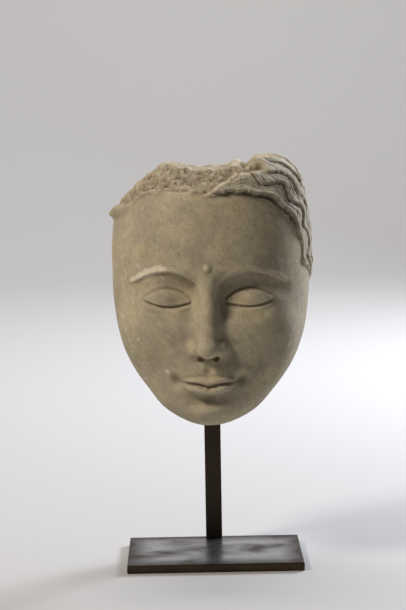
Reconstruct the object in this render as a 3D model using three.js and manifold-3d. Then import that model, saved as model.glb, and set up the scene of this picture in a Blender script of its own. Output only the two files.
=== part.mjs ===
// A modelled stucco head, broken off above the forehead and behind the temples, on a flat steel post and a steel plate.
// Millimetres, +Z up. The face looks along -Y. The origin is the middle of the plate's underside.
import * as THREE from "three";
import { SimplifyModifier } from "three/addons/modifiers/SimplifyModifier.js";
import { mergeVertices } from "three/addons/utils/BufferGeometryUtils.js";
import Module from "manifold-3d";

// Stand: flat bar and plate of the same stock thickness
const plateWidth = 126;
const plateDepth = 77;
const plateThickness = 6;
const plateChamfer = 0.6;
const postWidth = 12;
const postThickness = 6;
const postChamfer = 0.5;
const postInset = 0.5; // from the plate's back edge to the post's back face

// How the head sits on the post
const chinHeight = 104; // lowest point of the chin above the floor
const socketDepth = 58; // how far the post's top is above the chin's lowest point
const socketClearance = 0.3; // on each side of the post inside the head
const headTurn = -0.05; // radians, the face looks a little to the viewer's left

// Head: the form is drawn in units of which the face has 158 from the chin to the hairline
const faceHeight = 158;
const unit = faceHeight / 158;
const columnCount = 240; // points around the head
const rowCount = 184; // points from the underside to the crown
const headFaces = 9300; // triangles that stay where the even ground's have been merged
const fineLine = 1.1; // half the width of the narrowest line that such faces can show

// Places on the drawn head, in its own units: x to the viewer's right, y backwards, z up from the chin
const third = 158 / 3;
const halfWidth = 71;
const eyeWidth = (2 * halfWidth) / 5;
const eyeHalf = 0.58 * eyeWidth;
const eyeZ = 1.75 * third;
const browZ = 2 * third;
const noseZ = third;
const mouthZ = (2 * third) / 3;
const mouthHalf = 0.76 * eyeWidth;
const coreY = 3; // upright line in the head from which every point of the surface is seen
const coreLow = 30;
const coreHigh = 164;
const axisY = 14; // upright axis that the hair is laid out round
const hairSide = 80; // half the hairline's width, measured round the head
const hairTop = 166; // hairline in the middle, where most of the hair is lost
const hairBase = 100; // height at which the hairline stands upright
const hairEnd = 110; // lower end of the hair that is left
const lockPitch = 9; // out from the face, from one lock to the next
const lockWave = 24; // along the hairline, from one arch of a lock to the next
const lockRise = 8;
const crownZ = 180.3; // broken top, lower over the face's right side
const crownStep = 7.4; // and higher over its left side, where hair is left
const cornerPlace = 163.2; // slanting break at the crown's left, from the drawing's zero point
const cornerSlope = 0.69; // radians, that break's turn from level
const postPlaceY = 30; // the post's middle behind the head's own axis

// Smooth shapes and blends
const clamp = (t, low = 0, high = 1) => Math.min(Math.max(t, low), high);
const ease = (t) => clamp(t) ** 2 * (3 - 2 * clamp(t));
const bump = (t) => (1 - clamp(Math.abs(t)) ** 2) ** 2;
const trace = (d, width) => Math.exp(-((d / Math.max(width, fineLine)) ** 2));

function join(a, b, soft) {
  const h = Math.max(soft - Math.abs(a - b), 0) / soft;
  return Math.min(a, b) - (h * h * soft) / 4;
}
const carve = (a, b, soft) => -join(-a, b, soft);
const meet = (a, b, soft) => -join(-a, -b, soft);

function ellipsoid([x, y, z], [cx, cy, cz], [rx, ry, rz]) {
  const a = Math.hypot((x - cx) / rx, (y - cy) / ry, (z - cz) / rz);
  const b = Math.hypot((x - cx) / rx ** 2, (y - cy) / ry ** 2, (z - cz) / rz ** 2);
  return (a * (a - 1)) / Math.max(b, 1e-9);
}

// A rod from a to b whose radius goes from ra to rb
function taper(p, a, b, ra, rb) {
  const along = b.map((v, i) => v - a[i]);
  const from = p.map((v, i) => v - a[i]);
  const dot = (m, n) => m[0] * n[0] + m[1] * n[1] + m[2] * n[2];
  const t = clamp(dot(from, along) / dot(along, along));
  return Math.hypot(...from.map((v, i) => v - t * along[i])) - (ra + (rb - ra) * t);
}

// Seeded lumps of about the given size, from -1 to 1
function chance(i, j, k) {
  const v = Math.sin(i * 127.1 + j * 311.7 + k * 74.7) * 43758.5453;
  return v - Math.floor(v);
}
function lumps(p, size) {
  const cell = p.map((v) => Math.floor(v / size));
  const w = p.map((v, i) => ease(v / size - cell[i]));
  let total = 0;
  for (const dx of [0, 1])
    for (const dy of [0, 1])
      for (const dz of [0, 1]) {
        const share = [dx, dy, dz].reduce((s, d, i) => s * (d ? w[i] : 1 - w[i]), 1);
        total += share * chance(cell[0] + dx, cell[1] + dy, cell[2] + dz);
      }
  return 2 * total - 1;
}
const rough = (p) => 1.7 * lumps(p, 16) + 0.7 * lumps(p.map((v) => v + 40), 8);

// Lines carved on the face, as heights at a distance x from its midline
function browLine(x) {
  const t = clamp((x - 6) / 50);
  return browZ - 5.5 + 12 * Math.sin(Math.PI * 0.93 * t ** 0.8) - t;
}
function lidLine(x) {
  const t = (x - eyeWidth) / eyeHalf;
  return eyeZ - 4.6 + 3.4 * t * t + 0.7 * t;
}
function foldLine(x) {
  const t = (x - eyeWidth) / eyeHalf;
  return eyeZ + 6.6 - 6.6 * t * t + 0.7 * t;
}
const mouthLine = (x) => mouthZ - 0.8 + 2.4 * (x / mouthHalf) ** 2 - 1.5 * trace(x, 4.5);
const lipTop = (x) => mouthZ + 6.2 - 4.4 * clamp(x / mouthHalf) ** 1.7 - 1.4 * trace(x, 3.4);
const lipBottom = (x) =>
  mouthZ + 0.4 - 9.2 * Math.sqrt(1 - clamp(x / (0.84 * mouthHalf)) ** 2.4);

// Closed lids, brow and lips, as a distance forwards
function relief(x, z) {
  const t = (x - eyeWidth) / eyeHalf;
  const onEye = ease((1.1 - Math.abs(t)) / 0.22);
  const lid = z - lidLine(x);
  const fold = z - foldLine(x);
  let out = 1.3 * ease(lid / 1.2 + 0.5) * (1 - ease(fold / 1.8 + 0.5)) * onEye;
  out -= 1.3 * trace(lid + 0.5, 0.75) * ease((1.06 - Math.abs(t)) / 0.16);
  out -= 0.8 * trace(fold - 1, 1.2) * onEye;
  out += 0.6 * trace(lid + 3, 1.5) * onEye;
  out -= 0.4 * trace(lid + 8.6 - 1.6 * t * t, 2.6) * ease((1.05 - Math.abs(t)) / 0.5);

  const under = browLine(x) - z;
  const ends = ease((x - 4) / 6) * ease((60 - x) / 12);
  out -= 2.4 * ease(under / 3.4 + 0.4) * (1 - ease((under - 4) / 11)) * ends;
  out += 0.9 * trace(under + 1.6, 2.2) * ends;

  const m = mouthLine(x);
  const upper = clamp((z - m) / Math.max(lipTop(x) - m, 1));
  const lower = clamp((m - z) / Math.max(m - lipBottom(x), 1));
  out += 2.7 * Math.sin(Math.PI * upper ** 0.95) * ease((1.02 * mouthHalf - x) / 11);
  out += 3.4 * Math.sin(Math.PI * lower ** 1.05) * ease((0.9 * mouthHalf - x) / 10);
  out -= 1.4 * trace(z - m, 0.9) * ease((1.06 * mouthHalf - x) / 5);
  return out;
}

function nose(q) {
  let f = taper(q, [0, -54, browZ - 1], [0, -66.5, noseZ + 9], 4.6, 6);
  f = join(f, taper(q, [0, -50, browZ - 6], [2.5, -56.5, noseZ + 8], 6.5, 9.6), 5);
  f = join(f, ellipsoid(q, [0, -67.5, noseZ + 6.6], [7.4, 7, 6.4]), 4);
  return join(f, ellipsoid(q, [8.8, -59, noseZ + 5.8], [5.4, 8.4, 6]), 3.8);
}

// The whole head with no hair, as a signed distance
function head([px, py, pz]) {
  const x = Math.abs(px);
  const y = py + relief(x, pz) * ease((-py - 5) / 20);
  const q = [x, y, pz];
  let f = ellipsoid(q, [0, 12, 116], [halfWidth, 71, 90]);
  f = join(f, ellipsoid(q, [0, 14, 135], [68.5, 64, 72]), 8);
  f = join(f, ellipsoid(q, [0, 3, 68.5], [63, 60, 66]), 24);
  f = join(f, ellipsoid(q, [0, -32, 25.7], [32, 26, 20]), 28);
  f = join(f, ellipsoid(q, [0, -44, 17.5], [15, 14.5, 10]), 16);
  f = join(f, ellipsoid(q, [31, -27, 66], [25, 23, 27]), 18);
  f = join(f, ellipsoid(q, [0, -34, 41], [27, 25.5, 20]), 16);
  f = carve(f, ellipsoid(q, [eyeWidth + 1.5, -66, eyeZ + 2.5], [24.5, 18.5, 14.5]), 9);
  f = carve(f, ellipsoid(q, [12.5, -63, eyeZ], [6.5, 10.5, 15]), 8);
  f = join(f, ellipsoid(q, [eyeWidth + 0.5, -37, eyeZ - 0.6], [18, 14.6, 12.8]), 3.5);
  f = join(f, nose(q), 4);
  f = carve(f, ellipsoid(q, [5.2, -63.5, noseZ - 0.2], [2.5, 4.2, 2.2]), 1.2);
  f = carve(f, ellipsoid(q, [mouthHalf + 1.6, -58, mouthZ + 1.6], [2.6, 4, 2.8]), 5);
  f = carve(f, taper(q, [0, -64.6, noseZ - 3], [0, -64.2, mouthZ + 9], 1.6, 2.2), 3.4);
  f = carve(f, ellipsoid(q, [0, -65, mouthZ - 12.6], [16, 6.4, 3.4]), 7);
  return join(f, ellipsoid(q, [0, -58.6, browZ + 9], [3.2, 3, 3.2]), 0.8);
}

// Where a point lies on the hair: round the head, along the hairline from the parting, and out across it
function hairPlace([x, y, z]) {
  const round = halfWidth * Math.atan2(x, axisY - y);
  const left = ease((-round - 10) / 30);
  const power = 2.7 + 1.6 * left;
  const top = hairTop - 9 * ease((-round - 48) / 26) - hairBase;
  const high = Math.max(z - hairBase, 0.001) / top;
  const wide = Math.abs(round) / (hairSide + 40 * left);
  const out = ((wide ** power + high ** power) ** (1 / power) - 1) * 64;
  return { round, out, along: 82 * Math.atan2(round / hairSide, high) };
}

// Locks left in arching waves over the viewer's right side, each lapping over the next one out from the face
function locks(p) {
  const { round, out, along } = hairPlace(p);
  const shifted = (d) => p.map((v) => v + d);
  const wave = (along - 1 + 2.6 * lumps(shifted(11), 21)) / lockWave - 0.012 * out;
  const soft = 0.06 + 0.3 * ease((out - 6) / 16);
  const arch = Math.hypot(Math.cos(Math.PI * wave), soft) - soft;
  const rise = lockRise * ease(out / 16) * (1 - 0.3 * ease((out - 14) / 14)) * ease((along - 4) / 9);
  const across = (out - rise * arch + 1.3 * lumps(shifted(71), 15) + 2) / lockPitch;
  const s = across - Math.floor(across);
  const worn = 0.15 + 0.85 * ease((lumps(shifted(51), 19) + 0.4) / 0.8);
  const lock = 2.9 * ease(s / 0.24) * (1 - 0.72 * s) * (0.5 + 0.5 * worn) + 0.45 * worn;
  const side = 1.9 - 3.2 * bump((p[2] - 174) / 22) + 1.3 * bump((p[2] - 122) / 16);
  const temple = side * ease((round - 40) / 45) + 1.8 * bump((along - 82) / 22) * ease((out - 24) / 12);
  const crest = bump((along - 50) / 40) * ease((out - 4) / 16);
  const base = 2.6 - temple + crest - 1.7 * bump(along / 22);
  const kept = Math.max(2.1 * Math.max(p[2] - 163, 0) - 4, 54 - 60 * ease((180 - p[2]) / 5));
  const parting = round - kept + 2.5 * lumps(p, 9);
  const end = p[2] - hairEnd + 0.6 * (out - 4);
  const scallop = 2.4 * Math.abs(Math.cos(Math.PI * wave)) * ease((along - 26) / 14);
  const edge = out + 0.4 + 3.4 * bump((along - 2) / 16) - scallop;
  const there = ease(edge / 2.2) * ease(parting / 2.4 + 0.5) * ease(end / 4);
  return { there, thick: (base + lock) * there };
}

// Height of the broken top
const crownLine = (x) =>
  crownZ + 3.8 * bump((x + 28) / 21) + 3.4 * bump((x - 19) / 8) +
  crownStep * ease((x - 25) / 9) + 1.2 * bump((x - 43) / 9);

// What is left of the head: cut by the breaks above the forehead, at the crown and behind
function fragment(p) {
  const [x, y, z] = p;
  const { round, out } = hairPlace(p);
  const { there, thick } = locks(p);
  const r = rough(p);
  const broken = ease(out / 1.5 + 0.5) * (1 - there) * ease((z - 118) / 22);
  const flange = (2.5 + 2.4 * bump((z - 150) / 11)) * bump((out - 0.8) / (out < 0.8 ? 7 : 3.2));
  const stump = flange * ease((-round - 62) / 12) * ease((z - 141) / 7);
  let f = head(p) - thick - stump + broken * (0.9 + 0.7 * r);
  const slope = (z - 165.4 - 0.8 * (y + 47.6)) * 0.76 + 0.8 * r - 18 * there;
  const sides = 34 * ease((-x - 5) / 62) + 12 * ease((x - 15) / 55);
  const back = 45 - sides - 0.05 * (z - 90) - 8 * ease((z - 84) / 70);
  f = meet(f, slope, 1);
  const corner = z * Math.cos(cornerSlope) - x * Math.sin(cornerSlope) - cornerPlace;
  f = meet(f, corner + 0.7 * r, 1);
  f = meet(f, z - crownLine(x) - 0.8 * r, 1);
  return meet(f, y - back - 3.2 * lumps(p.map((v) => v + 130), 38) - 1.3 * r, 1.5);
}

// The outermost point of the surface, seen straight out from the core's length and fanned out at its ends
function surfacePoint(turn, level) {
  const rise = (Math.PI / 2) * level ** 5;
  const coreZ = (coreLow + coreHigh + (coreHigh - coreLow) * level) / 2;
  const flat = Math.cos(rise);
  const at = (t) => [
    t * Math.sin(turn) * flat,
    coreY - t * Math.cos(turn) * flat,
    coreZ + t * Math.sin(rise),
  ];
  let outer = 120;
  let inner = outer;
  while (fragment(at(inner)) > 0 && inner > 2) {
    outer = inner;
    inner -= clamp(0.6 * fragment(at(inner)), 0.15, 20);
  }
  for (let i = 0; i < 12; i++) {
    const middle = (inner + outer) / 2;
    if (fragment(at(middle)) > 0) outer = middle;
    else inner = middle;
  }
  return at(inner);
}

// Steps from low to high, closer together where the density is high
function spacing(count, low, high, density) {
  const steps = 1440;
  const sums = [0];
  for (let i = 0; i < steps; i++)
    sums.push(sums[i] + density(low + ((i + 0.5) / steps) * (high - low)));
  const places = [];
  for (let n = 0, i = 0; n <= count; n++) {
    const wanted = (n / count) * sums[steps];
    while (i < steps - 1 && sums[i + 1] < wanted) i++;
    const part = (wanted - sums[i]) / (sums[i + 1] - sums[i]);
    places.push(low + ((i + part) / steps) * (high - low));
  }
  return places;
}

// The points lie closest on the lips, lids and nose, then on the locks of hair, which are on one side only
const columnTurns = spacing(columnCount, -180, 180, (a) =>
  0.5 + 1.2 * bump(a / 70) + 0.5 * bump((a - 62) / 50));
const rowLevels = spacing(rowCount, -1, 1, (v) =>
  0.5 + 0.9 * bump((v + 0.6) / 0.3) + 0.8 * bump((v - 0.05) / 0.35) + 0.8 * bump((v - 0.7) / 0.35));

// A ball whose points are moved out to the surface, and whose faces are then merged where it is even
async function headGeometry() {
  const ball = new THREE.SphereGeometry(1, columnCount, rowCount).rotateX(Math.PI / 2);
  ball.deleteAttribute("normal");
  ball.deleteAttribute("uv");
  const merged = mergeVertices(ball, 1e-5);
  const place = merged.getAttribute("position");
  const radians = THREE.MathUtils.degToRad;
  for (let i = 0; i < place.count; i++) {
    const column = (Math.atan2(place.getX(i), -place.getY(i)) / Math.PI + 1) * (columnCount / 2);
    const row = (Math.asin(clamp(place.getZ(i), -1, 1)) / Math.PI + 0.5) * rowCount;
    const turn = radians(columnTurns[Math.round(column)]);
    const point = surfacePoint(turn, rowLevels[Math.round(row)]);
    place.setXYZ(i, ...point.map((v) => v * unit));
  }
  merged.computeVertexNormals();
  return new SimplifyModifier().modify(merged, place.count - headFaces / 2);
}

// Closed geometries in and out of the solid library
const wasm = await Module();
wasm.setup();
function solidOf(geometry) {
  const bare = geometry.clone();
  for (const name of ["normal", "uv"]) bare.deleteAttribute(name);
  const merged = mergeVertices(bare, 1e-4);
  const vertProperties = merged.getAttribute("position").array;
  const triVerts = new Uint32Array(merged.index.array);
  return new wasm.Manifold(new wasm.Mesh({ numProp: 3, vertProperties, triVerts }));
}
function geometryOf(solid) {
  const { vertProperties, triVerts } = solid.getMesh();
  const geometry = new THREE.BufferGeometry();
  geometry.setAttribute("position", new THREE.BufferAttribute(vertProperties, 3));
  geometry.setIndex(new THREE.BufferAttribute(triVerts, 1));
  geometry.computeVertexNormals();
  return geometry;
}

// A box standing on z = 0 with its edges broken all round
function chamferedBox(width, depth, height, chamfer) {
  const x = width / 2 - chamfer;
  const y = depth / 2 - chamfer;
  const outline = new THREE.Shape([
    new THREE.Vector2(-x, -y),
    new THREE.Vector2(x, -y),
    new THREE.Vector2(x, y),
    new THREE.Vector2(-x, y),
  ]);
  return new THREE.ExtrudeGeometry(outline, {
    depth: height - 2 * chamfer,
    bevelSize: chamfer,
    bevelThickness: chamfer,
    bevelSegments: 1,
  }).translate(0, 0, chamfer);
}

const stucco = new THREE.MeshStandardMaterial({ color: 0xb5a687, roughness: 0.92, metalness: 0 });
const steel = new THREE.MeshStandardMaterial({ color: 0x35322d, roughness: 0.45, metalness: 1 });

const plate = new THREE.Mesh(
  chamferedBox(plateWidth, plateDepth, plateThickness, plateChamfer),
  steel,
);
plate.name = "base_plate";

const postHeight = chinHeight + socketDepth - plateThickness;
const post = new THREE.Mesh(
  chamferedBox(postWidth, postThickness, postHeight, postChamfer),
  steel.clone(),
);
post.name = "post";
post.position.set(0, (plateDepth - postThickness) / 2 - postInset, plateThickness);

// The head's socket is the post's own box with a clearance round it, open below
const headPlace = new THREE.Group();
headPlace.position.set(0, post.position.y - postPlaceY * unit, chinHeight);
headPlace.rotation.z = headTurn;
headPlace.updateMatrix();
const hole = new THREE.BoxGeometry(
  postWidth + 2 * socketClearance,
  postThickness + 2 * socketClearance,
  postHeight,
)
  .translate(0, post.position.y, plateThickness + postHeight / 2)
  .applyMatrix4(headPlace.matrix.clone().invert());
const stuccoHead = new THREE.Mesh(
  geometryOf(solidOf(await headGeometry()).subtract(solidOf(hole))),
  stucco,
);
stuccoHead.name = "stucco_head";
headPlace.add(stuccoHead);

const object = new THREE.Group();
object.add(plate, post, headPlace);
export default object;
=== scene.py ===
# A modelled stucco head, broken above the forehead and behind, on its flat steel post and plate.
# Metres, +Z up, the face looks along -Y. The head is drawn in millimetres up from its chin.
import math

import bmesh
import bpy
import numpy as np
from mathutils import Matrix, Vector


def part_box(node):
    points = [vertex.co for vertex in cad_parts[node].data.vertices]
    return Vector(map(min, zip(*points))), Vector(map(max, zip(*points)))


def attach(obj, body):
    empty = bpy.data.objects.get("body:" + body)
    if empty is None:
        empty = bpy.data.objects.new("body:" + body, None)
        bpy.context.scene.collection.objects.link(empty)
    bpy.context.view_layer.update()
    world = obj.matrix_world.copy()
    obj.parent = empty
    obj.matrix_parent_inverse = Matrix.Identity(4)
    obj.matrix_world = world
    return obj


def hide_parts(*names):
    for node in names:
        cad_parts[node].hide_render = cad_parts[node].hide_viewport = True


print("loading the stand and the head's solid")
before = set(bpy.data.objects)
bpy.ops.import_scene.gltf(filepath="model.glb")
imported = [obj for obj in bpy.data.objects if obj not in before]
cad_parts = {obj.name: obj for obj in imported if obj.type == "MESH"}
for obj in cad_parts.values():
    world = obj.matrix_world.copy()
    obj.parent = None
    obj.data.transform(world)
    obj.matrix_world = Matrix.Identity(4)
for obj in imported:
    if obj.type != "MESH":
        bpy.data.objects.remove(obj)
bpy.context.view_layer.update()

mm = 0.001
scene = bpy.context.scene


def toLinear(hexColour):
    # sRGB hex to the linear colour that a socket takes
    values = [int(hexColour[i:i + 2], 16) / 255 for i in (1, 3, 5)]
    linear = [v / 12.92 if v <= 0.04045 else ((v + 0.055) / 1.055) ** 2.4 for v in values]
    return (*linear, 1.0)


def addNode(material, kind, settings=None, **links):
    # One node with its settings, and what goes into each named socket
    tree = material.node_tree
    node = tree.nodes.new(kind)
    for name, value in (settings or {}).items():
        setattr(node, name, value)
    for name, value in links.items():
        key = int(name[1:]) if name[0] == "_" else name.replace("_", " ")
        if isinstance(value, bpy.types.NodeSocket):
            tree.links.new(value, node.inputs[key])
        else:
            node.inputs[key].default_value = value
    return node


def newMaterial(name):
    material = bpy.data.materials.new(name)
    material.use_nodes = True
    material.node_tree.nodes.clear()
    return material


# The head's form is a signed distance, worked on whole arrays of points
headForm = {
    "chinHeight": 104.0,      # lowest point of the chin above the floor
    "turn": -0.05,            # radians, the face looks a little to the viewer's left
    "behindPost": 30.0,       # from the post's middle forward to the head's own axis
    "columns": 400,
    "rows": 246,
    "coreY": 3.0,             # upright line from which the surface is seen
    "coreLow": 30.0,
    "coreHigh": 164.0,
    "halfWidth": 71.0,
    "faceHeight": 158.0,      # chin to hairline, in three equal parts
    "crownZ": 180.3,
    "crownStep": 7.4,
    "cornerPlace": 163.2,
    "cornerSlope": 0.69,
    "hairAxisY": 14.0,
    "hairSide": 80.0,
    "hairTop": 166.0,         # hairline in the middle, where most of the hair is lost
    "hairBase": 100.0,
    "hairEnd": 110.0,
    "lockPitch": 9.0,
    "lockWave": 24.0,
    "lockRise": 8.0,
    "knocks": 32,
    "knockReach": 14.0,       # no knock is longer than this
    "seed": 7,
    "socketClearance": 0.3,   # on each side of the post inside the head
    "socketEnd": 0.1,         # and above its top
    "smoothings": 14,         # passes that even out the ground, to tell hollows and ridges from it
    "hollowDepth": 0.5,
}
third = headForm["faceHeight"] / 3
halfWidth = headForm["halfWidth"]
eyeWidth = 2 * halfWidth / 5
eyeHalf = 0.58 * eyeWidth
eyeZ = 1.75 * third
browZ = 2 * third
noseZ = third
mouthZ = third * 2 / 3
mouthHalf = 0.76 * eyeWidth


def ease(t):
    t = np.clip(t, 0, 1)
    return t * t * (3 - 2 * t)


def bump(t):
    return (1 - np.clip(np.abs(t), 0, 1) ** 2) ** 2


def trace(d, width):
    return np.exp(-(d / width) ** 2)


def join(a, b, soft):
    h = np.maximum(soft - np.abs(a - b), 0) / soft
    return np.minimum(a, b) - h * h * soft / 4


def carve(a, b, soft):
    return -join(-a, b, soft)


def meet(a, b, soft):
    return -join(-a, -b, soft)


def ellipsoid(p, centre, radii):
    q = p - np.array(centre, float)
    r = np.array(radii, float)
    a = np.sqrt(((q / r) ** 2).sum(-1))
    b = np.sqrt(((q / (r * r)) ** 2).sum(-1))
    return a * (a - 1) / np.maximum(b, 1e-9)


def taper(p, start, end, startRadius, endRadius):
    # A rod whose radius changes from one end to the other
    start = np.array(start, float)
    along = np.array(end, float) - start
    t = np.clip((p - start) @ along / (along @ along), 0, 1)
    away = p - (start + t[..., None] * along)
    return np.sqrt((away * away).sum(-1)) - (startRadius + (endRadius - startRadius) * t)


def chance(i, j, k):
    v = np.sin(i * 127.1 + j * 311.7 + k * 74.7) * 43758.5453
    return v - np.floor(v)


def lumps(p, size):
    # Seeded lumps of about that size in millimetres, from -1 to 1
    g = p / size
    cell = np.floor(g)
    w = ease(g - cell)
    total = 0
    for dx in (0, 1):
        for dy in (0, 1):
            for dz in (0, 1):
                share = 1
                for axis, d in enumerate((dx, dy, dz)):
                    share = share * (w[..., axis] if d else 1 - w[..., axis])
                total = total + share * chance(cell[..., 0] + dx, cell[..., 1] + dy, cell[..., 2] + dz)
    return 2 * total - 1


def rough(p):
    return 1.7 * lumps(p, 16) + 0.7 * lumps(p + 40, 8)


def browLine(x):
    t = np.clip((x - 6) / 50, 0, 1)
    return browZ - 5.5 + 12 * np.sin(np.pi * 0.93 * t ** 0.8) - t


def lidLine(x):
    t = (x - eyeWidth) / eyeHalf
    return eyeZ - 4.6 + 3.4 * t * t + 0.7 * t


def foldLine(x):
    t = (x - eyeWidth) / eyeHalf
    return eyeZ + 6.6 - 6.6 * t * t + 0.7 * t


def mouthLine(x):
    return mouthZ - 0.8 + 2.4 * (x / mouthHalf) ** 2 - 1.5 * trace(x, 4.5)


def lipTop(x):
    return mouthZ + 6.2 - 4.4 * np.clip(x / mouthHalf, 0, 1) ** 1.7 - 1.4 * trace(x, 3.4)


def lipBottom(x):
    t = np.clip(x / (0.84 * mouthHalf), 0, 1)
    return mouthZ + 0.4 - 9.2 * np.sqrt(1 - t ** 2.4)


def relief(x, z):
    # Closed lids, brow and lips, as a distance forwards
    t = (x - eyeWidth) / eyeHalf
    onEye = ease((1.1 - np.abs(t)) / 0.22)
    lid = z - lidLine(x)
    fold = z - foldLine(x)
    out = 1.3 * ease(lid / 1.2 + 0.5) * (1 - ease(fold / 1.8 + 0.5)) * onEye
    out = out - 1.3 * trace(lid + 0.5, 0.75) * ease((1.06 - np.abs(t)) / 0.16)
    out = out - 0.8 * trace(fold - 1, 1.2) * onEye
    out = out + 0.6 * trace(lid + 3, 1.5) * onEye
    out = out - 0.4 * trace(lid + 8.6 - 1.6 * t * t, 2.6) * ease((1.05 - np.abs(t)) / 0.5)

    under = browLine(x) - z
    ends = ease((x - 4) / 6) * ease((60 - x) / 12)
    out = out - 2.4 * ease(under / 3.2 + 0.38) * (1 - ease((under - 4) / 11)) * ends
    out = out + 0.9 * trace(under + 1.6, 2.2) * ends

    m = mouthLine(x)
    upper = np.clip((z - m) / np.maximum(lipTop(x) - m, 1), 0, 1)
    lower = np.clip((m - z) / np.maximum(m - lipBottom(x), 1), 0, 1)
    out = out + 2.8 * np.sin(np.pi * upper ** 0.9) * ease((1.02 * mouthHalf - x) / 11)
    out = out + 3.6 * np.sin(np.pi * lower ** 0.95) * ease((0.9 * mouthHalf - x) / 10)
    return out - 1.4 * trace(z - m, 1.1) * ease((1.06 * mouthHalf - x) / 5)


def nose(q):
    f = taper(q, (0, -54, browZ - 1), (0, -66.5, noseZ + 9), 4.6, 6)
    f = join(f, taper(q, (0, -50, browZ - 6), (2.5, -56.5, noseZ + 8), 6.5, 9.6), 5)
    f = join(f, ellipsoid(q, (0, -67.5, noseZ + 6.6), (7.4, 7, 6.4)), 4)
    return join(f, ellipsoid(q, (8.8, -59, noseZ + 5.8), (5.4, 8.4, 6)), 3.8)


def wholeHead(p):
    # The head with no hair on it
    x = np.abs(p[..., 0])
    y = p[..., 1] + relief(x, p[..., 2]) * ease((-p[..., 1] - 5) / 20)
    q = np.stack([x, y, p[..., 2]], -1)
    f = ellipsoid(q, (0, 12, 116), (halfWidth, 71, 90))
    f = join(f, ellipsoid(q, (0, 14, 135), (68.5, 64, 72)), 8)
    f = join(f, ellipsoid(q, (0, 3, 68.5), (63, 60, 66)), 24)
    f = join(f, ellipsoid(q, (0, -32, 25.7), (32, 26, 20)), 28)
    f = join(f, ellipsoid(q, (0, -44, 17.5), (15, 14.5, 10)), 16)
    f = join(f, ellipsoid(q, (31, -27, 66), (25, 23, 27)), 18)
    f = join(f, ellipsoid(q, (0, -34, 41), (27, 25.5, 20)), 16)
    f = carve(f, ellipsoid(q, (eyeWidth + 1.5, -66, eyeZ + 2.5), (24.5, 18.5, 14.5)), 9)
    f = carve(f, ellipsoid(q, (12.5, -63, eyeZ), (6.5, 10.5, 15)), 8)
    f = join(f, ellipsoid(q, (eyeWidth + 0.5, -37, eyeZ - 0.6), (18, 14.6, 12.8)), 3.5)
    f = join(f, nose(q), 4)
    f = carve(f, ellipsoid(q, (5.2, -63.5, noseZ - 0.2), (2.5, 4.2, 2.2)), 1.2)
    f = carve(f, ellipsoid(q, (mouthHalf + 1.6, -58, mouthZ + 1.6), (2.6, 4, 2.8)), 5)
    f = carve(f, taper(q, (0, -64.6, noseZ - 3), (0, -64.2, mouthZ + 9), 1.6, 2.2), 3.4)
    f = carve(f, ellipsoid(q, (0, -65, mouthZ - 12.6), (16, 6.4, 3.4)), 7)
    return join(f, ellipsoid(q, (0, -58.6, browZ + 9), (3.2, 3, 3.2)), 0.8)


def hairPlace(p):
    # Round the head, out across the hairline, and along it from the parting
    x, y, z = p[..., 0], p[..., 1], p[..., 2]
    around = halfWidth * np.arctan2(x, headForm["hairAxisY"] - y)
    left = ease((-around - 10) / 30)
    power = 2.7 + 1.6 * left
    top = headForm["hairTop"] - 9 * ease((-around - 48) / 26) - headForm["hairBase"]
    high = np.maximum(z - headForm["hairBase"], 0.001) / top
    wide = np.abs(around) / (headForm["hairSide"] + 40 * left)
    out = ((wide ** power + high ** power) ** (1 / power) - 1) * 64
    along = 82 * np.arctan2(around / headForm["hairSide"], high)
    return around, out, along


def lockLines(p):
    # Locks in arching waves: how far along a wave and across how many locks each point lies
    out, along = hairPlace(p)[1:]
    wave = (along - 1 + 2.6 * lumps(p + 11, 21)) / headForm["lockWave"] - 0.012 * out
    soft = 0.06 + 0.3 * ease((out - 6) / 16)
    arch = np.sqrt(np.cos(np.pi * wave) ** 2 + soft ** 2) - soft
    rise = headForm["lockRise"] * ease(out / 16) * (1 - 0.3 * ease((out - 14) / 14)) * ease((along - 4) / 9)
    return wave, (out - rise * arch + 1.3 * lumps(p + 71, 15) + 2) / headForm["lockPitch"]


def locks(p):
    # Hair left over the viewer's right side, each lock lapping over the next one out from the face
    z = p[..., 2]
    around, out, along = hairPlace(p)
    wave, across = lockLines(p)
    s = across - np.floor(across)
    worn = 0.15 + 0.85 * ease((lumps(p + 51, 19) + 0.4) / 0.8)
    strands = 0.5 - 0.5 * np.cos(6 * np.pi * s)
    lock = 2.9 * ease(s / 0.25) * (1 - 0.72 * s) * (0.5 + 0.5 * worn) + 0.65 * strands * worn
    side = 1.9 - 3.2 * bump((z - 174) / 22) + 1.3 * bump((z - 122) / 16)
    base = 2.6 - side * ease((around - 40) / 45) + bump((along - 50) / 40) * ease((out - 4) / 16)
    base = base - 1.8 * bump((along - 82) / 22) * ease((out - 24) / 12) - 1.7 * bump(along / 22)
    kept = np.maximum(2.1 * np.maximum(z - 163, 0) - 4, 54 - 60 * ease((180 - z) / 5))
    parting = around - kept + 2.5 * lumps(p, 9)
    end = z - headForm["hairEnd"] + 0.6 * (out - 4)
    scallop = 2.4 * np.abs(np.cos(np.pi * wave)) * ease((along - 26) / 14)
    edge = out + 0.4 + 3.4 * bump((along - 2) / 16) - scallop
    there = ease(edge / 2.2) * ease(parting / 2.4 + 0.5) * ease(end / 4)
    return there, (base + lock) * there


def crownLine(x):
    # Height of the broken top
    step = headForm["crownStep"] * ease((x - 25) / 9) + 1.2 * bump((x - 43) / 9)
    return headForm["crownZ"] + 3.8 * bump((x + 28) / 21) + 3.4 * bump((x - 19) / 8) + step


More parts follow.
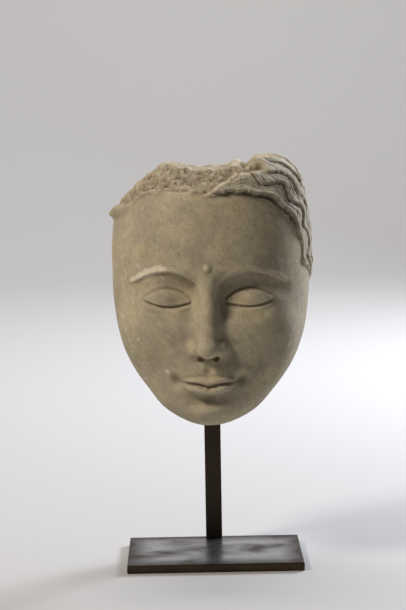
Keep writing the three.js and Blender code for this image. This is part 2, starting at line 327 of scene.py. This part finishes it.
def breaks(p, there, r):
    # The broken faces: above the forehead, the crown's left corner, the crown and the back
    x, y, z = p[..., 0], p[..., 1], p[..., 2]
    slope = (z - 165.4 - 0.8 * (y + 47.6)) * 0.76 + 0.8 * r - 18 * there
    turn = headForm["cornerSlope"]
    corner = z * math.cos(turn) - x * math.sin(turn) - headForm["cornerPlace"] + 0.7 * r
    crown = z - crownLine(x) - 0.8 * r
    back = 45 - 34 * ease((-x - 5) / 62) - 12 * ease((x - 15) / 55) - 0.05 * (z - 90)
    back = back - 8 * ease((z - 84) / 70) + 3.2 * lumps(p + 130, 38)
    return slope, corner, crown, y - back - 1.3 * r


def lostHair(p, there):
    # Ground that the hair broke away from
    out = hairPlace(p)[1]
    return ease(out / 1.5 + 0.5) * (1 - there) * ease((p[..., 2] - 118) / 22)


def fragment(p):
    # What is left of the head: a ledge and a ragged rim where the hair broke away, and the broken faces
    z = p[..., 2]
    around, out = hairPlace(p)[:2]
    there, thick = locks(p)
    r = rough(p)
    high = ease((z - 141) / 7)
    ledge = (2.5 + 2.4 * bump((z - 150) / 11)) * bump((out - 0.8) / np.where(out < 0.8, 7.0, 3.2))
    ledge = ledge * ease((-around - 66) / 20) * high * (0.85 + 0.3 * lumps(p + 33, 5))
    ragged = ease((lumps(p + 90, 12) + 0.4) / 0.5) * high
    rim = 1.1 * bump((out - 0.5) / 1.9) * (1 - there) * ragged
    f = wholeHead(p) - thick - (ledge + rim) + lostHair(p, there) * (0.9 + 0.7 * r)
    slope, corner, crown, back = breaks(p, there, r)
    return meet(meet(meet(meet(f, slope, 1), corner, 1), crown, 1), back, 1.5)


def surfacePoints(turn, level):
    # The outermost points, seen straight out from the core's length and fanned out at its ends
    rise = np.pi / 2 * level ** 5
    low, high = headForm["coreLow"], headForm["coreHigh"]
    start = np.stack([0 * turn, headForm["coreY"] + 0 * turn, (low + high + (high - low) * level) / 2], -1)
    way = np.stack([np.sin(turn) * np.cos(rise), -np.cos(turn) * np.cos(rise), np.sin(rise)], -1)
    outer = np.full(len(turn), 120.0)
    inner = outer.copy()
    moving = np.arange(len(turn))
    f = fragment(start + inner[:, None] * way)
    while len(moving):
        outer[moving] = inner[moving]
        inner[moving] -= np.clip(0.6 * f, 0.15, 20)
        f = fragment(start[moving] + inner[moving, None] * way[moving])
        outside = (f > 0) & (inner[moving] > 2)
        moving = moving[outside]
        f = f[outside]
    for _ in range(11):
        middle = (inner + outer) / 2
        outside = fragment(start + middle[:, None] * way) > 0
        outer = np.where(outside, middle, outer)
        inner = np.where(outside, inner, middle)
    return start + inner[:, None] * way


def spacing(count, low, high, density):
    # Steps from low to high, closer together where the density is high
    fine = np.linspace(low, high, 2881)
    sums = np.concatenate([[0], np.cumsum(density((fine[1:] + fine[:-1]) / 2))])
    return np.interp(np.arange(count + 1) / count * sums[-1], sums, fine)


def knocksOn(p):
    # Places of small knocks and scratches on the front, as a start, an end, a width and a depth
    rng = np.random.default_rng(headForm["seed"])
    clear = (p[:, 0] < -26) | (p[:, 0] > 44) | (p[:, 2] < 20)
    front = p[clear & (p[:, 1] < -8) & (p[:, 2] < 116) & (np.abs(p[:, 2] - eyeZ) > 12)]
    worse = front[(front[:, 0] < -43) & (front[:, 2] > 22)]
    knocks = []
    for i in range(headForm["knocks"]):
        group = worse if i % 2 else front
        start = group[rng.integers(len(group))]
        reach = rng.uniform(0.2, 1.2) if i % 4 else rng.uniform(2.5, 6)
        aim = start + reach * np.array([rng.uniform(-1, 1), 0, rng.uniform(-1, 1)])
        end = front[np.argmin(((front - aim)[:, (0, 2)] ** 2).sum(-1))]
        wide = rng.uniform(0.8, 1.7) if i % 4 else 0.8
        knocks.append((start, end, wide, rng.uniform(0.15, 0.4)))
    return knocks


def knockedAt(p, knocks):
    ragged = 0.3 * lumps(p + 77, 1.6)
    depth = np.zeros(len(p))
    for start, end, wide, deep in knocks:
        near = np.nonzero(((p - start) ** 2).sum(-1) < headForm["knockReach"] ** 2)[0]
        away = taper(p[near], start, end + 0.01, 0, 0) / wide
        depth[near] = np.maximum(depth[near], bump(away + ragged[near]) * deep)
    return depth


def chipOnBrow(p):
    # A flake lost from the brow's edge on the viewer's left, where the paler stucco inside shows
    x = -p[:, 0]
    above = p[:, 2] - browLine(x) - 2.4 - 0.7 * lumps(p + 13, 7)
    high = 3.7 * bump((x - 41) / 19) + 0.9 * lumps(p, 3.1)
    return ease((high - np.abs(above)) / 0.7) * (p[:, 1] < 0) * ease((x - 27) / 3) * ease((59 - x) / 3)


def headMesh():
    # A ball's points moved onto the form, closer together over the face, the hair and the broken top
    columns, rows = headForm["columns"], headForm["rows"]
    turns = np.radians(spacing(columns, -180, 180,
                               lambda a: 0.42 + 1.25 * bump(a / 75) + 0.55 * bump((a - 62) / 50)))
    levels = spacing(rows, -1, 1,
                     lambda v: 0.7 + 0.4 * bump((v - 0.03) / 0.3) + 1.1 * bump((v + 0.68) / 0.34)
                     + 1.2 * bump((v - 0.78) / 0.34))
    bm = bmesh.new()
    bmesh.ops.create_uvsphere(bm, u_segments=columns, v_segments=rows, radius=1)
    ball = np.array([v.co for v in bm.verts])
    column = np.round((np.arctan2(ball[:, 0], -ball[:, 1]) / np.pi + 1) * columns / 2).astype(int)
    row = np.round((np.arcsin(np.clip(ball[:, 2], -1, 1)) / np.pi + 0.5) * rows).astype(int)
    points = surfacePoints(turns[column], levels[row])
    for vert, point in zip(bm.verts, points):
        vert.co = point
    mesh = bpy.data.meshes.new("stuccoHeadFragment")
    bm.to_mesh(mesh)
    bm.free()
    return mesh


def valuesOf(mesh, name="co"):
    values = np.empty(len(mesh.vertices) * 3)
    source = mesh.vertices if name == "co" else mesh.vertex_normals
    source.foreach_get("co" if name == "co" else "vector", values)
    return values.reshape(-1, 3)


def smoothedPoints(mesh, times):
    bm = bmesh.new()
    bm.from_mesh(mesh)
    for _ in range(times):
        bmesh.ops.smooth_vert(bm, verts=bm.verts[:], factor=0.5, use_axis_x=True, use_axis_y=True,
                              use_axis_z=True)
    points = np.array([v.co for v in bm.verts])
    bm.free()
    return points


def addWeight(mesh, name, values, most=1):
    layer = mesh.attributes.new(name, "FLOAT", "POINT")
    layer.data.foreach_set("value", np.clip(values, 0, most).astype(np.float32))


def brokenShare(p):
    # 1 on broken ground, 0 on modelled skin and hair
    there = locks(p)[0]
    cut = np.maximum.reduce(breaks(p, there, rough(p)))
    return np.maximum(ease((cut + 1.1) / 0.7), lostHair(p, there))


print("modelling the head")
postLow, postHigh = [np.array(corner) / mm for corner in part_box("post")]
postMiddle = (postLow + postHigh) / 2
headPlace = (0, (postMiddle[1] - headForm["behindPost"]) * mm, headForm["chinHeight"] * mm)
headTurn = Matrix.Rotation(headForm["turn"], 4, "Z")
headMove = Matrix.Translation(headPlace) @ headTurn @ Matrix.Scale(mm, 4)

mesh = headMesh()
points = valuesOf(mesh)
broken = brokenShare(points)
there = locks(points)[0]
knocks = knocksOn(points)
knocked = knockedAt(points, knocks) * (1 - broken)
chip = chipOnBrow(points) * (1 - broken) * (0.5 + 0.25 * lumps(points, 2))
grain = 0.8 * lumps(points, 4.6) + 0.65 * lumps(points + 9, 2.4) + 0.4 * lumps(points + 17, 1.6)
grain = grain * (0.8 + 0.5 * lumps(points + 150, 17)) - 1.2 * ease((lumps(points + 31, 3.4) - 0.45) / 0.3)
skin = 0.22 * lumps(points + 5, 19) + 0.1 * lumps(points + 23, 6) + 0.05 * lumps(points + 3, 2.2)
wornHair = 0.4 * lumps(points + 61, 2.7) + 0.25 * lumps(points + 83, 1.7)
lift = broken * grain + (1 - broken) * (skin + there * wornHair) - knocked - chip
points = points + lift[:, None] * valuesOf(mesh, "normal")
mesh.vertices.foreach_set("co", points.ravel())
mesh.update()
print("head:", len(mesh.polygons), "faces")

head = bpy.data.objects.new("stuccoHead", mesh)
scene.collection.objects.link(head)
mesh.transform(headMove)

# The socket that the post stands in
bm = bmesh.new()
bmesh.ops.create_cube(bm, size=1)
room = np.array([headForm["socketClearance"], headForm["socketClearance"], headForm["socketEnd"]])
socketSize = postHigh - postLow + 2 * room
bmesh.ops.scale(bm, vec=Vector(socketSize * mm), verts=bm.verts)
bmesh.ops.translate(bm, vec=Vector(postMiddle * mm), verts=bm.verts)
socketMesh = bpy.data.meshes.new("socket")
bm.to_mesh(socketMesh)
bm.free()
socket = bpy.data.objects.new("socket", socketMesh)
scene.collection.objects.link(socket)
cut = head.modifiers.new("socket", "BOOLEAN")
cut.operation = "DIFFERENCE"
cut.solver = "EXACT"
cut.object = socket
bpy.context.view_layer.update()
cutMesh = bpy.data.meshes.new_from_object(head.evaluated_get(bpy.context.evaluated_depsgraph_get()))
head.modifiers.clear()
head.data = cutMesh
head.data.name = "stuccoHeadFragment"
bpy.data.objects.remove(socket)
mesh = head.data
mesh.shade_smooth()
print("socket cut:", len(mesh.polygons), "faces")

# What the surface is at each point, for its colours
inHead = headMove.inverted()
mesh.transform(inHead)
points = valuesOf(mesh)
normals = valuesOf(mesh, "normal")
hollow = ((smoothedPoints(mesh, headForm["smoothings"]) - points) * normals).sum(-1)
there = locks(points)[0]
broken = np.maximum(brokenShare(points), ease((-fragment(points) - 1.6) / 1))
addWeight(mesh, "broken", broken)
addWeight(mesh, "hair", there * (1 - broken))
addWeight(mesh, "hollow", hollow / headForm["hollowDepth"])
addWeight(mesh, "ridge", -hollow / headForm["hollowDepth"])
addWeight(mesh, "chipped", chipOnBrow(points) * (1 - broken))
addWeight(mesh, "knocked", knockedAt(points, knocks) / 0.25 * (1 - broken) * (1 - there))
addWeight(mesh, "across", lockLines(points)[1], 99)
mesh.transform(headMove)
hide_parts("stucco_head")
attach(head, "root")


def amounts(material, patterns):
    # How far each noise pattern shows, given where it is drawn, its size in millimetres, detail, roughness
    # and distortion, the noise at which it starts and the noise at which it is full
    found = {}
    for name, (place, size, detail, rough, distortion, low, high) in patterns.items():
        noise = addNode(material, "ShaderNodeTexNoise", None, Vector=place, Scale=1 / (size * mm),
                        Detail=detail, Roughness=rough, Distortion=distortion)
        shown = addNode(material, "ShaderNodeMapRange", None, Value=noise.outputs["Fac"], From_Min=low,
                        From_Max=high)
        found[name] = shown.outputs["Result"]
    return found


def coats(material, colour, layers):
    # Coats of colour laid one over the other, each where its amount says and at most by its share
    for amount, share, hexColour in layers:
        laid = addNode(material, "ShaderNodeMath", {"operation": "MULTIPLY"}, _0=amount, _1=share)
        mixed = addNode(material, "ShaderNodeMix", {"data_type": "RGBA"}, _0=laid.outputs[0], _6=colour,
                        _7=toLinear(hexColour))
        colour = mixed.outputs[2]
    return colour


def limeStucco():
    # Lime stucco pressed and smoothed wet over a sandy core: dead matt, buff, with sand in its broken faces
    m = newMaterial("limeStucco")
    place = addNode(m, "ShaderNodeTexCoord").outputs["Object"]
    drawn = addNode(m, "ShaderNodeMapping", {"vector_type": "TEXTURE"}, Vector=place, Rotation=(0, 0.8, 0),
                    Scale=(5.0, 1.0, 1.0)).outputs["Vector"]
    weights = {name: addNode(m, "ShaderNodeAttribute", {"attribute_name": name}).outputs["Fac"]
               for name in ("broken", "hair", "hollow", "ridge", "chipped", "knocked", "across")}
    shown = amounts(m, {
        "patches": (place, 34, 3.0, 0.55, 0.0, 0.42, 0.58),
        "greyer": (place, 5.5, 5.0, 0.55, 0.0, 0.42, 0.7),
        "warmer": (place, 17, 4.0, 0.55, 0.0, 0.54, 0.66),
        "streaks": (drawn, 2.4, 4.0, 0.65, 0.0, 0.48, 0.68),
        "sand": (place, 1.9, 4.0, 0.6, 0.0, 0.5, 0.66),
        "paleSand": (place, 1.5, 2.0, 0.5, 0.0, 0.68, 0.74),
        "specks": (place, 1.6, 2.5, 0.6, 0.0, 0.38, 0.3),
        "speckled": (place, 26, 3.0, 0.55, 0.0, 0.4, 0.6),
        "earthy": (place, 6, 5.0, 0.55, 0.0, 0.42, 0.62),
        "pits": (place, 1.5, 3.0, 0.6, 0.0, 0.42, 0.33),
        # patches where the painted shade in the hollows shows
        "shadePatches": (place, 8, 3.0, 0.55, 0.0, 0.25, 0.6),
        "fineSand": (place, 0.9, 3.0, 0.6, 0.0, 0.0, 1.0),
        "smoothing": (drawn, 1.3, 4.0, 0.65, 0.0, 0.0, 1.0),
        "coarseSand": (place, 1.5, 5.0, 0.72, 0.0, 0.0, 1.0),
    })
    specks = addNode(m, "ShaderNodeMath", {"operation": "MULTIPLY"}, _0=shown["specks"], _1=shown["speckled"])
    # Painted shade: darker in the hollows, broken into patches
    hollowShade = addNode(m, "ShaderNodeMath", {"operation": "MULTIPLY"}, _0=weights["hollow"], _1=shown["shadePatches"])

    # Skin: greyer and warmer patches, a little sand, streaks from the smoothing, dark specks of dirt
    skin = coats(m, toLinear("#9c917b"), (
        (shown["patches"], 1.0, "#b1a488"),
        (shown["greyer"], 0.5, "#8b7f67"),
        (shown["warmer"], 0.32, "#b39d76"),
        (shown["streaks"], 0.3, "#c0b49b"),
        (shown["sand"], 0.35, "#877c66"),
        (shown["paleSand"], 0.35, "#cdc2a9"),
        (specks.outputs[0], 0.6, "#695d49"),
    ))

    # Broken faces: pink, yellow and grey grains a few millimetres across
    cells = addNode(m, "ShaderNodeTexVoronoi", {"feature": "F1"}, Vector=place, Scale=1 / (2.4 * mm))
    tint = addNode(m, "ShaderNodeSeparateColor", None, Color=cells.outputs["Color"]).outputs["Red"]
    grains = addNode(m, "ShaderNodeValToRGB", None, Fac=tint)
    ramp = grains.color_ramp
    stops = (("#927e6a", 0.0), ("#9d9070", 0.3), ("#857d6b", 0.5), ("#9b8975", 0.75), ("#b8ad92", 1.0))
    for i, (hexColour, at) in enumerate(stops):
        stop = ramp.elements[i] if i < 2 else ramp.elements.new(at)
        stop.position = at
        stop.color = toLinear(hexColour)
    crumb = coats(m, grains.outputs["Color"], (
        (shown["earthy"], 0.55, "#7c6f59"),
        (shown["pits"], 0.75, "#5a4f3f"),
    ))

    # Both together, then hair, painted shade in the hollows, worn ridges and fresh marks
    ground = addNode(m, "ShaderNodeMix", {"data_type": "RGBA"}, _0=weights["broken"], _6=skin, _7=crumb)
    colour = coats(m, ground.outputs[2], (
        (weights["hair"], 0.35, "#a89e8c"),
        (hollowShade.outputs[0], 0.62, "#63563f"),
        (weights["ridge"], 0.4, "#c6b99e"),
        (weights["chipped"], 0.9, "#cfc4ac"),
        (weights["knocked"], 0.75, "#cec4ad"),
    ))

    # Relief too fine for the mesh: sand, marks of the smoothing, hairs along the locks and pits
    smoothed = addNode(m, "ShaderNodeMath", {"operation": "MULTIPLY"}, _0=shown["smoothing"], _1=0.9)
    fine = addNode(m, "ShaderNodeMath", {"operation": "MULTIPLY_ADD"}, _0=shown["fineSand"], _1=0.7,
                   _2=smoothed.outputs[0])
    coarse = addNode(m, "ShaderNodeMath", {"operation": "MULTIPLY"}, _0=shown["coarseSand"], _1=3.2)
    even = addNode(m, "ShaderNodeMix", {"data_type": "FLOAT"}, _0=weights["broken"], _2=fine.outputs[0],
                   _3=coarse.outputs[0])
    phase = addNode(m, "ShaderNodeMath", {"operation": "MULTIPLY"}, _0=weights["across"], _1=50.0)
    hairs = addNode(m, "ShaderNodeMath", {"operation": "SINE"}, _0=phase.outputs[0])
    hairHeight = addNode(m, "ShaderNodeMath", {"operation": "MULTIPLY"}, _0=weights["hair"], _1=0.3)
    combed = addNode(m, "ShaderNodeMath", {"operation": "MULTIPLY_ADD"}, _0=hairs.outputs[0],
                     _1=hairHeight.outputs[0], _2=even.outputs[0])
    pitted = addNode(m, "ShaderNodeMath", {"operation": "MULTIPLY_ADD"}, _0=specks.outputs[0], _1=-0.5,
                     _2=combed.outputs[0])
    relief = addNode(m, "ShaderNodeBump", None, Height=pitted.outputs[0], Strength=0.75, Distance=0.35 * mm)
    shader = addNode(m, "ShaderNodeBsdfPrincipled", None, Base_Color=colour, Roughness=0.93,
                     Normal=relief.outputs["Normal"])
    shader.inputs["Specular IOR Level"].default_value = 0.25
    addNode(m, "ShaderNodeOutputMaterial", None, Surface=shader.outputs["BSDF"])
    return m


def waxedSteel(look):
    # Hot-rolled mild steel, browned and waxed: a satin brown skin, rubbed in grey clouds well inside its rim
    m = newMaterial(look["name"])
    coordinates = addNode(m, "ShaderNodeTexCoord")
    place = coordinates.outputs["Object"]
    drawn = addNode(m, "ShaderNodeMapping", None, Vector=place, Scale=(0.45, 1.0, 1.0)).outputs["Vector"]
    scratched = addNode(m, "ShaderNodeMapping", None, Vector=place, Scale=(0.06, 1.0, 1.0)).outputs["Vector"]
    shown = amounts(m, {
        "cloud": (drawn, 24, 5.0, 0.55, 0.5, 0.0, 1.0),
        "patchy": (drawn, 24, 5.0, 0.55, 0.5, 0.36, 0.6),
        "grit": (place, 1.6, 4.0, 0.65, 0.0, 0.0, 1.0),
        "specks": (place, 1.6, 4.0, 0.65, 0.0, 0.55, 0.75),
        "scratches": (scratched, 0.7, 3.0, 0.5, 0.0, 0.0, 1.0),
    })

    # The grey clouds end raggedly short of the rim
    at = addNode(m, "ShaderNodeSeparateXYZ", None, Vector=place)
    apart = addNode(m, "ShaderNodeMath", {"operation": "SUBTRACT"}, _0=shown["cloud"], _1=0.5)
    rubbed = shown["patchy"]
    for axis, half in zip("XY", look["rim"]):
        out = addNode(m, "ShaderNodeMath", {"operation": "ABSOLUTE"}, _0=at.outputs[axis])
        ragged = addNode(m, "ShaderNodeMath", {"operation": "MULTIPLY_ADD"}, _0=apart.outputs[0], _1=40 * mm,
                         _2=out.outputs[0])
        inside = addNode(m, "ShaderNodeMapRange", None, Value=ragged.outputs[0], From_Min=half - 1 * mm,
                         From_Max=half - 13 * mm)
        both = addNode(m, "ShaderNodeMath", {"operation": "MULTIPLY"}, _0=rubbed, _1=inside.outputs["Result"])
        rubbed = both.outputs[0]
    level = coats(m, toLinear(look["dark"]), (
        (rubbed, 1.0, look["light"]),
        (shown["specks"], 0.5, "#2a2119"),
    ))
    edge = coats(m, toLinear(look["side"]), ((shown["patchy"], 1.0, look["dark"]),))
    facing = addNode(m, "ShaderNodeSeparateXYZ", None, Vector=coordinates.outputs["Normal"])
    upright = addNode(m, "ShaderNodeMapRange", None, Value=facing.outputs["Z"], From_Min=0.9, From_Max=0.5)
    colour = addNode(m, "ShaderNodeMix", {"data_type": "RGBA"}, _0=upright.outputs["Result"], _6=level,
                     _7=edge)
    dull = addNode(m, "ShaderNodeMapRange", None, Value=rubbed, To_Min=look["rough"] + look["smears"],
                   To_Max=look["rough"] - look["smears"])
    worn = addNode(m, "ShaderNodeMath", {"operation": "ADD"}, _0=shown["grit"], _1=shown["scratches"])
    dents = addNode(m, "ShaderNodeBump", None, Height=worn.outputs[0], Strength=0.18, Distance=0.08 * mm)
    shader = addNode(m, "ShaderNodeBsdfPrincipled", None, Base_Color=colour.outputs[2], Metallic=1.0,
                     Roughness=dull.outputs["Result"], Normal=dents.outputs["Normal"])
    addNode(m, "ShaderNodeOutputMaterial", None, Surface=shader.outputs["BSDF"])
    return m


def paperSweep():
    # Matt pale studio paper
    m = newMaterial("palePaper")
    shader = addNode(m, "ShaderNodeBsdfPrincipled", None, Base_Color=toLinear("#aba8a4"), Roughness=0.9)
    shader.inputs["Specular IOR Level"].default_value = 0.2
    addNode(m, "ShaderNodeOutputMaterial", None, Surface=shader.outputs["BSDF"])
    return m


print("mixing the materials")
stucco = limeStucco()
head.data.materials.clear()
head.data.materials.append(stucco)
plateLook = {
    "name": "waxedPlateSteel",
    "dark": "#372e24",
    "light": "#bbbabc",
    "side": "#4b4134",
    "rough": 0.33,
    "smears": 0.07,
    "rim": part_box("base_plate")[1][:2],
}
postLook = {
    "name": "waxedPostSteel",
    "dark": "#3c352d",
    "light": "#50473e",
    "side": "#41392f",
    "rough": 0.42,
    "smears": 0.06,
    "rim": (1, 1),            # metres, so the clouds go right across the bar
}
for nodeName, look in (("base_plate", plateLook), ("post", postLook)):
    steel = waxedSteel(look)
    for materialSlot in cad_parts[nodeName].material_slots:
        materialSlot.material = steel


studio = {
    "cameraPlace": (-16.6, -1207.3, 339.3),   # millimetres, and all below are metres
    "pitch": 0.126,                           # radians down
    "yaw": 0.009,
    "roll": -0.017,
    "lens": 100.1,                            # millimetres, on the sensor's width below
    "sensor": 36.0,
    "aim": (0, 0, 0.19),                      # the middle of the head
    "keyPlace": (-1.15, -0.72, 1.35),
    "keySize": 0.45,
    "keyPower": 25.0,
    "rimPlace": (1.0, 0.9, 0.8),
    "rimSize": 0.4,
    "rimPower": 36.0,
    "fillPlace": (0.6, -1.4, 0.5),
    "fillSize": 1.2,
    "fillPower": 0.4,
    "wallAim": (0, 3.0, 1.0),
    "wallPlace": (0, 0.9, 2.8),
    "wallSize": 2.0,
    "wallPower": 115.0,
    "air": 0.05,
    "sweepHalf": 3.0,
    "sweepBend": 1.2,
}


def softLight(name, aim, colour):
    data = bpy.data.lights.new(name + "Light", "AREA")
    data.shape = "DISK"
    data.size = studio[name + "Size"]
    data.energy = studio[name + "Power"]
    data.color = toLinear(colour)[:3]
    light = bpy.data.objects.new(name + "Light", data)
    light.location = studio[name + "Place"]
    way = Vector(studio[aim]) - Vector(studio[name + "Place"])
    light.rotation_euler = way.to_track_quat("-Z", "Y").to_euler()
    scene.collection.objects.link(light)


print("setting up the studio")
softLight("key", "aim", "#fff7ec")
softLight("rim", "aim", "#e4edff")
softLight("fill", "aim", "#f4f4ff")
softLight("wall", "wallAim", "#f6f8ff")
world = bpy.data.worlds.new("studioAir")
world.use_nodes = True
world.node_tree.nodes["Background"].inputs["Color"].default_value = toLinear("#dfe3ea")
world.node_tree.nodes["Background"].inputs["Strength"].default_value = studio["air"]
scene.world = world

# Floor and wall in one sheet, with a wide bend between them
bm = bmesh.new()
half = studio["sweepHalf"]
bmesh.ops.create_grid(bm, x_segments=1, y_segments=1, size=half)
farEdge = [e for e in bm.edges if all(v.co.y > 0.9 * half for v in e.verts)]
risen = bmesh.ops.extrude_edge_only(bm, edges=farEdge)
wallTop = [g for g in risen["geom"] if isinstance(g, bmesh.types.BMVert)]
bmesh.ops.translate(bm, vec=(0, 0, half), verts=wallTop)
bmesh.ops.bevel(bm, geom=farEdge, offset=studio["sweepBend"], segments=24, profile=0.5, affect="EDGES",
                material=-1)
sweepMesh = bpy.data.meshes.new("paperSweep")
bm.to_mesh(sweepMesh)
bm.free()
sweepMesh.shade_smooth()
sweep = bpy.data.objects.new("paperSweep", sweepMesh)
sweep.data.materials.append(paperSweep())
scene.collection.objects.link(sweep)

pitch, yaw, roll = studio["pitch"], studio["yaw"], studio["roll"]
ahead = Vector((math.sin(yaw) * math.cos(pitch), math.cos(yaw) * math.cos(pitch), -math.sin(pitch)))
level = Vector((math.cos(yaw), -math.sin(yaw), 0))
upright = level.cross(ahead)
right = level * math.cos(roll) + upright * math.sin(roll)
up = upright * math.cos(roll) - level * math.sin(roll)
cameraData = bpy.data.cameras.new("camera")
cameraData.lens = studio["lens"]
cameraData.sensor_width = studio["sensor"]
camera = bpy.data.objects.new("camera", cameraData)
turned = Matrix((right, up, -ahead)).transposed().to_4x4()
camera.matrix_world = Matrix.Translation(Vector(studio["cameraPlace"]) * mm) @ turned
scene.collection.objects.link(camera)
scene.camera = camera
scene.view_settings.view_transform = "Standard"
